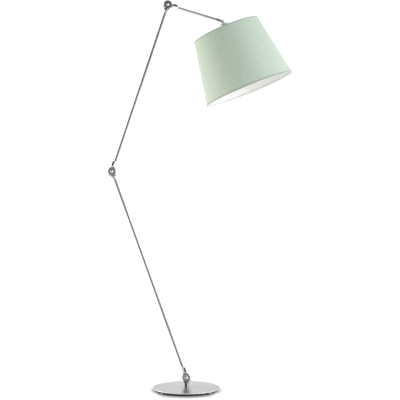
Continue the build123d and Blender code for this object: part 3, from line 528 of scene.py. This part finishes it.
def add_turned(mesh, origin, axis, outline, steps=96, seam=BACK, closed=False, flat=None, shift=None):
    """Adds the skin of a turned shape. flat gives each point's flat coordinates from its turn and its
    distance along the outline; shift moves each point, given its turn and its place on the outline."""
    side = (seam - axis * seam.dot(axis)).normalized() if abs(seam.dot(axis)) < 0.99 else axis.orthogonal()
    other = axis.cross(side)
    uv = mesh.loops.layers.uv.verify()
    outline = [Vector(p) for p in outline]
    if closed:
        outline.append(outline[0].copy())
    widest = max(p.x for p in outline)
    travelled = [0.0]
    for before, after in zip(outline, outline[1:]):
        travelled.append(travelled[-1] + (after - before).length)
    rows = []
    for index, point in enumerate(outline):
        if closed and index == len(outline) - 1:
            rows.append(rows[0])
            continue
        count = 1 if point.x < 1e-7 else steps
        row = []
        for step in range(count):
            turn = tau * step / steps
            radius, height = point
            if shift:
                radius, height = shift(turn, radius, height)
            outward = side * cos(turn) + other * sin(turn)
            row.append(mesh.verts.new(origin + axis * height + outward * radius))
        rows.append(row)
    flat = flat or (lambda turn, distance: (turn * widest, distance))
    for index, (low, high) in enumerate(zip(rows, rows[1:])):
        for step in range(steps):
            following = (step + 1) % steps
            corners = [(low[step % len(low)], step, index)]
            if len(low) > 1:
                corners.append((low[following], step + 1, index))
            if len(high) > 1:
                corners.append((high[following], step + 1, index + 1))
            corners.append((high[step % len(high)], step, index + 1))
            if len(set(c[0] for c in corners)) < 3:
                continue
            face = mesh.faces.new([c[0] for c in corners])
            for loop, (_, turned, place) in zip(face.loops, corners):
                loop[uv].uv = flat(tau * turned / steps, travelled[place])


def make_piece(name, mesh, body, material, replaces=(), sharp=40):
    """Turns mesh code into a shown piece that rides on a body."""
    bmesh.ops.recalc_face_normals(mesh, faces=mesh.faces)
    data = bpy.data.meshes.new(name)
    mesh.to_mesh(data)
    mesh.free()
    data.materials.append(MATERIALS[material])
    data.shade_smooth()
    data.set_sharp_from_angle(angle=radians(sharp))
    piece = bpy.data.objects.new(name, data)
    bpy.context.scene.collection.objects.link(piece)
    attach(piece, body)
    if replaces:
        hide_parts(*replaces)
    return piece


def make_turned(name, body, material, origin, axis, outline, replaces=(), slot=None, **options):
    """A piece that is a single turned shape."""
    mesh = bmesh.new()
    add_turned(mesh, origin, axis, outline, **options)
    return make_piece(name, mesh, body, material, replaces)


# ---------------------------------------------------------------- base

ORIGIN = Vector((0, 0, 0))
SEAT_RADIUS = 0.012
SHEET = 0.003


def make_base_cover():
    """The domed cover with a rolled rim."""
    low, high, _, _ = span("base_cover", ORIGIN, UP)
    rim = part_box("base_cover")[1].x
    hole = 0.0051
    rim_top = low + SHEET
    dome = []
    for step in range(25):
        share = step / 24
        dome.append((SEAT_RADIUS + (rim - 0.001 - SEAT_RADIUS) * share, high - (high - rim_top) * share**2))
    under = [(radius, height - SHEET) for radius, height in reversed(dome)]
    outline = [(hole, high - 0.0004), (hole + 0.0004, high)]
    outline += dome
    outline += arc((rim - 0.0010, rim_top - 0.0010), 0.0010, 75, 0, 6)
    outline += arc((rim - 0.0009, low + 0.0009), 0.0009, 0, -80, 6)
    outline += under
    outline += [(hole, high - SHEET)]
    make_turned(
        "base_plate", "base", "satin_steel", ORIGIN, UP, outline, ["base_cover"], steps=320, closed=True
    )


def make_feet():
    """Moulded feet: a rounded tread with a sunk middle, and a ridge where they clip under the cover."""
    for node in sorted(name for name in NODES if name.startswith("base_foot")):
        low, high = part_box(node)
        middle = Vector(((low.x + high.x) / 2, (low.y + high.y) / 2, 0))
        radius = (high.x - low.x) / 2
        outline = [(0, 0.0006), (0.0016, 0.0006), (0.0022, 0.0)]
        outline += [(radius - 0.0009, 0.0), (radius, 0.0012), (radius, high.z - 0.0022)]
        outline += [(radius - 0.0005, high.z - 0.0018), (radius - 0.0005, high.z), (0, high.z)]
        outline = rounded(outline, 0.0004)
        name = node.replace("base", "rubber")
        make_turned(name, "base", "clear_rubber", middle, UP, outline, [node], steps=72)


# ---------------------------------------------------------------- arms

def make_tube(name, body, start, end):
    """A drawn tube along an arm, with its true bore."""
    axis = (HINGE[end] - HINGE[start]).normalized()
    origin = HINGE[start]
    low, high, radius, _ = span(name, origin, axis)
    bore = radius - 0.001
    outline = rounded([(bore, low), (radius, low), (radius, high), (bore, high)], 0.0003, 3)
    divided = []
    for before, after in zip(outline, outline[1:]):
        pieces = max(1, round((after - before).length / 0.02))
        divided += [before.lerp(after, step / pieces) for step in range(pieces)]
    divided.append(outline[-1])
    # The head arm takes the lighter copy of the tube finish, which is painted light.
    finish = "head_tube" if body == "head_arm" else "nickel_tube"
    make_turned(
        f"{name}_drawn", body, finish, origin, axis, divided, [name],
        slot="nickel_tube", steps=64, closed=True,
    )


# ---------------------------------------------------------------- shade

TILT = HINGE["shade_tilt"]
RING_LOW, RING_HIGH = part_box("shade_bottom_ring")
SHADE_AXIS = ((RING_LOW + RING_HIGH) / 2 - TILT).normalized()
SHADE_TOP, SHADE_BOTTOM, TOP_RADIUS, BOTTOM_RADIUS = span("shade_cover", TILT, SHADE_AXIS)
SLANT = hypot(SHADE_BOTTOM - SHADE_TOP, BOTTOM_RADIUS - TOP_RADIUS)
CONE = (BOTTOM_RADIUS - TOP_RADIUS) / SLANT
CLOTH = 0.0006
LINING = 0.0005


def cone_radius(height, depth=0.0):
    share = (height - SHADE_TOP) / (SHADE_BOTTOM - SHADE_TOP)
    return TOP_RADIUS + (BOTTOM_RADIUS - TOP_RADIUS) * share - depth


def cone_flat(turn, distance):
    """The flat pattern of the shade: a ring sector that closes at the back seam."""
    reach = TOP_RADIUS / CONE + distance
    angle = (turn - pi) * CONE
    return (reach * sin(angle), reach * cos(angle))


def cloth_shift(turn, radius, height):
    """The small unevenness of cloth glued to a sheet and pulled round two rings."""
    swell = noise(Vector((cos(turn) * 2.4, sin(turn) * 2.4, height * 9)))
    ripple = noise(Vector((cos(turn) * 9, sin(turn) * 9, height * 30 + 5)))
    share = (height - SHADE_TOP) / (SHADE_BOTTOM - SHADE_TOP)
    held = sin(pi * min(max(share, 0), 1))
    return radius + (0.0007 * swell + 0.00018 * ripple) * held, height


def cone_outline(outside, inside, top, bottom, rows):
    """A closed outline of one layer of the shade, from its top edge down the outside and back up."""
    heights = [top + (bottom - top) * row / rows for row in range(rows + 1)]
    down = [(cone_radius(height, outside), height) for height in heights]
    up = [(cone_radius(height, inside), height) for height in reversed(heights)]
    return down + up


def make_shade_cover():
    mesh = bmesh.new()
    outline = cone_outline(0, CLOTH, SHADE_TOP + 0.001, SHADE_BOTTOM - 0.001, 48)
    add_turned(mesh, TILT, SHADE_AXIS, outline, steps=360, closed=True, flat=cone_flat, shift=cloth_shift)
    return make_piece("shade_cloth", mesh, "shade", "green_fabric", ["shade_cover"])


def make_shade_liner():
    mesh = bmesh.new()
    outline = cone_outline(CLOTH + 0.00005, CLOTH + LINING, SHADE_TOP + 0.002, SHADE_BOTTOM - 0.002, 48)
    add_turned(mesh, TILT, SHADE_AXIS, outline, steps=360, closed=True, flat=cone_flat, shift=cloth_shift)
    return make_piece("shade_lining", mesh, "shade", "white_liner", ["shade_liner"])


def make_hem(name, height, inward):
    """The cloth folded over a rim: a rolled bead outside, and a flap stuck down inside, in a darker copy of the
    cloth that is painted shade.
    """
    outside = [(0.0003, 7.0), (0.0009, 6.2), (0.0011, 3.6), (0.0012, 1.4), (0.0008, 0.2)]
    inside = [(-0.0004, -0.2), (-0.0018, 0.0), (-0.0024, 1.0), (-0.0021, 3.0), (-0.0018, 6.0), (-0.0012, 6.6)]
    points = []
    for proud, along in outside + inside:
        place = height + inward * along * 0.001
        points.append(Vector((cone_radius(place) + proud, place)))
    mesh = bmesh.new()
    add_turned(mesh, TILT, SHADE_AXIS, rounded(points, 0.0006, 3), steps=360, closed=True)
    return make_piece(name, mesh, "shade", "hem_fabric")


def make_seam():
    """The overlap at the back where the cloth closes on itself."""
    mesh = bmesh.new()
    uv = mesh.loops.layers.uv.verify()
    rows, width, columns = 48, 0.014, 8
    side = (BACK - SHADE_AXIS * BACK.dot(SHADE_AXIS)).normalized()
    other = SHADE_AXIS.cross(side)
    grid = []
    for row in range(rows + 1):
        height = SHADE_TOP + 0.006 + (SHADE_BOTTOM - SHADE_TOP - 0.012) * row / rows
        line = []
        for column in range(columns + 1):
            across = (column / columns - 0.5) * width
            turn = across / cone_radius(height)
            lift = 0.0005 if 0 < column < columns else 0.0
            radius = cloth_shift(turn % tau, cone_radius(height), height)[0] + lift
            outward = side * cos(turn) + other * sin(turn)
            line.append((mesh.verts.new(TILT + SHADE_AXIS * height + outward * radius), across, height))
        grid.append(line)
    for low, high in zip(grid, grid[1:]):
        for column in range(columns):
            corners = [low[column], low[column + 1], high[column + 1], high[column]]
            face = mesh.faces.new([corner[0] for corner in corners])
            for loop, (_, across, height) in zip(face.loops, corners):
                loop[uv].uv = (across, height)
    return make_piece("shade_seam", mesh, "shade", "green_fabric")


def ring_outline(radius, height, wire):
    return [Vector((radius, height)) + p for p in arc((0, 0), wire, 0, 360 - 360 / 20, 19)]


def make_wires():
    """The welded wire frame: top ring with its hub and spokes, and the bottom ring."""
    wire = 0.00175
    low, high, _, _ = span("shade_bottom_ring", TILT, SHADE_AXIS)
    level = (low + high) / 2
    gap = CLOTH + LINING + wire + 0.0001
    mesh = bmesh.new()
    outline = ring_outline(cone_radius(level, gap), level, wire)
    add_turned(mesh, TILT, SHADE_AXIS, outline, steps=288, closed=True)
    make_piece("bottom_wire", mesh, "shade", "white_wire", ["shade_bottom_ring"])

    low, high, _, _ = span("shade_spider", TILT, SHADE_AXIS)
    level = (low + high) / 2
    ring = cone_radius(level, gap)
    mesh = bmesh.new()
    add_turned(mesh, TILT, SHADE_AXIS, ring_outline(ring, level, wire), steps=288, closed=True)
    hub, bore, half = 0.0285, 0.0198, 0.001
    plate = [(bore, level - half), (hub, level - half), (hub, level + half), (bore, level + half)]
    add_turned(mesh, TILT, SHADE_AXIS, rounded(plate + plate[:1], 0.0004, 3)[:-1], steps=128, closed=True)
    centre = TILT + SHADE_AXIS * level
    spokes = span_directions("shade_spider", centre, ring)
    for outward in spokes:
        spoke = rounded([(0, hub - 0.003), (0.0015, hub - 0.003), (0.0015, ring), (0, ring)], 0.0006, 4)
        add_turned(mesh, centre, outward, spoke, steps=24, seam=SHADE_AXIS)
    make_piece("top_wire_frame", mesh, "shade", "white_wire", ["shade_spider"])


def span_directions(node, centre, ring):
    """The directions of a spider's spokes, from the CAD's own points halfway out to the ring."""
    found = []
    for edge in NODES[node].data.edges:
        first, second = (NODES[node].data.vertices[v].co - centre for v in edge.vertices)
        if abs(first.length - second.length) > 0.5 * ring:
            outward = (first if first.length > second.length else second).copy()
            outward = (outward - SHADE_AXIS * outward.dot(SHADE_AXIS)).normalized()
            if all(outward.angle(known) > radians(30) for known in found):
                found.append(outward)
    return found


# ---------------------------------------------------------------- lamp holder and bulb

def make_holder():
    """The lamp holder's spun cap and its ribbed body."""
    top, split, _, outer = span("lampholder_cap", TILT, SHADE_AXIS)
    wall = 0.0015
    cap = [(0.00502, top), (0.0135, top), (outer, top + 0.0065), (outer, split), (outer - wall, split)]
    cap += [(outer - wall, top + 0.0075), (0.0128, top + wall), (0.00502, top + wall)]
    make_turned(
        "holder_cap", "shade", "nickel", TILT, SHADE_AXIS, rounded(cap, 0.003, 8), ["lampholder_cap"],
        steps=128, closed=True,
    )
    _, mouth, _, _ = span("lampholder_body", TILT, SHADE_AXIS)
    start, body = split + 0.0001, 0.0192
    outline = [(0, start - 0.007), (0.017, start - 0.007), (0.017, start), (body, start)]
    ridge = start + 0.0005
    while ridge < mouth - 0.004:
        outline += [(body, ridge), (body - 0.0006, ridge + 0.0009)]
        outline += [(body - 0.0006, ridge + 0.0012), (body, ridge + 0.0021)]
        ridge += 0.0025
    outline += [(body - 0.0006, mouth - 0.0012), (body - 0.0014, mouth)]
    outline += [(0.0143, mouth), (0.0143, start + 0.010), (0, start + 0.010)]
    make_turned(
        "holder_body", "shade", "lampholder_plastic", TILT, SHADE_AXIS, rounded(outline, 0.0002, 2),
        ["lampholder_body"], steps=128,
    )


def make_bulb():
    """The opal globe, and its rolled screw shell, turned in one piece with the shape of the insulator and the
    solder tip.
    """
    start, end, neck, _ = span("bulb_globe", TILT, SHADE_AXIS)
    low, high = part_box("bulb_globe")
    globe = (high.y - low.y) / 2
    centre = end - globe
    outline = [(neck - 0.001, start), (neck, start)]
    for step in range(1, 20):
        share = step / 20
        height = start + (centre - start) * share
        outline.append((neck + (globe - neck) * (share * share * (3 - 2 * share)) ** 0.8, height))
    outline += [(p.x, p.y) for p in arc((0, centre), globe, 0, 90, 28)]
    outline[-1] = (0, end)
    make_turned("bulb_glass", "shade", "frosted_glass", TILT, SHADE_AXIS, outline, ["bulb_globe"], steps=128)

    start, end, _, _ = span("bulb_base", TILT, SHADE_AXIS)
    pitch, turns, depth, run_out = 0.0036, 4.6, 0.0006, 0.002
    shell = start + 0.0050

    def thread(turn, radius, height):
        from_start = max(0.0, (height - shell) / run_out)
        from_end = max(0.0, (shell + pitch * turns - height) / run_out)
        inside = min(1.0, from_start, from_end)
        return radius - depth * inside * (1 - cos(tau * height / pitch - turn)), height

    outline = [(0, start), (0.0030, start), (0.0042, start + 0.0008), (0.0050, start + 0.0022)]
    outline += [(0.0070, start + 0.0028), (0.0122, start + 0.0046)]
    count = 70
    outline += [(0.0131, shell + (end - 0.002 - shell) * step / count) for step in range(count + 1)]
    outline += [(0.0136, end - 0.001), (0.0136, end), (0, end)]
    make_turned(
        "bulb_shell", "shade", "bulb_shell", TILT, SHADE_AXIS, outline, ["bulb_base"], steps=96, shift=thread
    )


# ---------------------------------------------------------------- CAD pieces that keep their shape

# The nodes whose finish differs from their slot's.
FINISHES = {"head_arm_fork": "sleeve", "stem": "black_nickel"}


def finish_cad_nodes():
    """Gives each CAD node the material of its slot, or its own finish where it has one."""
    slots = {part["node"]: part["material_slot"] for part in frame["record"]["subparts"]}
    for node, piece in NODES.items():
        piece.data.materials.clear()
        piece.data.materials.append(MATERIALS[FINISHES.get(node, slots[node])])


# ---------------------------------------------------------------- the scene

def make_floor():
    """A pale floor. Its material is darker and glows less close round the base, a painted contact shadow."""
    graph = Graph("floor")
    grain = graph.noise(graph.place(), 60.0, 4.0)
    moved = graph.node("VectorMath", {0: graph.place(), 1: (0, SHADOW_SHIFT, 0)}, operation="ADD")
    offset = moved.outputs["Vector"]
    away = graph.node("VectorMath", {0: offset}, operation="LENGTH").outputs["Value"]
    aside = graph.math("ABSOLUTE", graph.node("SeparateXYZ", {0: offset}).outputs["X"])
    away = graph.math("ADD", away, graph.fit(aside, *SHADOW_SIDES, 0.0, SHADOW_SIDES_WIDTH))
    open_floor = graph.blend(grain, grey(0.82), grey(0.85))
    # Painted shadow: no glow and a darker grey close round the base.
    near_glow = graph.fit(away, *NEAR_GLOW_REACH, 0.0, NEAR_GLOW)
    far_glow = graph.fit(away, *FAR_GLOW_REACH, 0.0, FAR_GLOW)
    graph.set(
        base_color=graph.blend(graph.fit(away, *SHADOW_BAND, 0, 1), grey(0.45), open_floor),
        roughness=graph.spread(grain, 0.6, 0.75),
        emission_color=colour(1, 1, 1),
        emission_strength=graph.math("ADD", near_glow, far_glow),
    )
    data = bpy.data.meshes.new("floor")
    mesh = bmesh.new()
    bmesh.ops.create_circle(mesh, cap_ends=True, segments=96, radius=FLOOR_RADIUS)
    mesh.to_mesh(data)
    mesh.free()
    data.materials.append(graph.material)
    floor = bpy.data.objects.new("floor", data)
    bpy.context.scene.collection.objects.link(floor)


make_camera()
make_studio()
make_floor()
finish_cad_nodes()
make_base_cover()
make_feet()
make_tube("lower_arm_tube", "lower_arm", "base_hinge", "elbow_hinge")
make_tube("upper_arm_tube", "upper_arm", "elbow_hinge", "top_hinge")
make_tube("head_arm_tube", "head_arm", "top_hinge", "shade_tilt")
cloth = make_shade_cover()
make_shade_liner()
hems = [make_hem("shade_top_hem", SHADE_TOP, 1), make_hem("shade_bottom_hem", SHADE_BOTTOM, -1)]
seam = make_seam()
make_wires()
make_holder()
make_bulb()
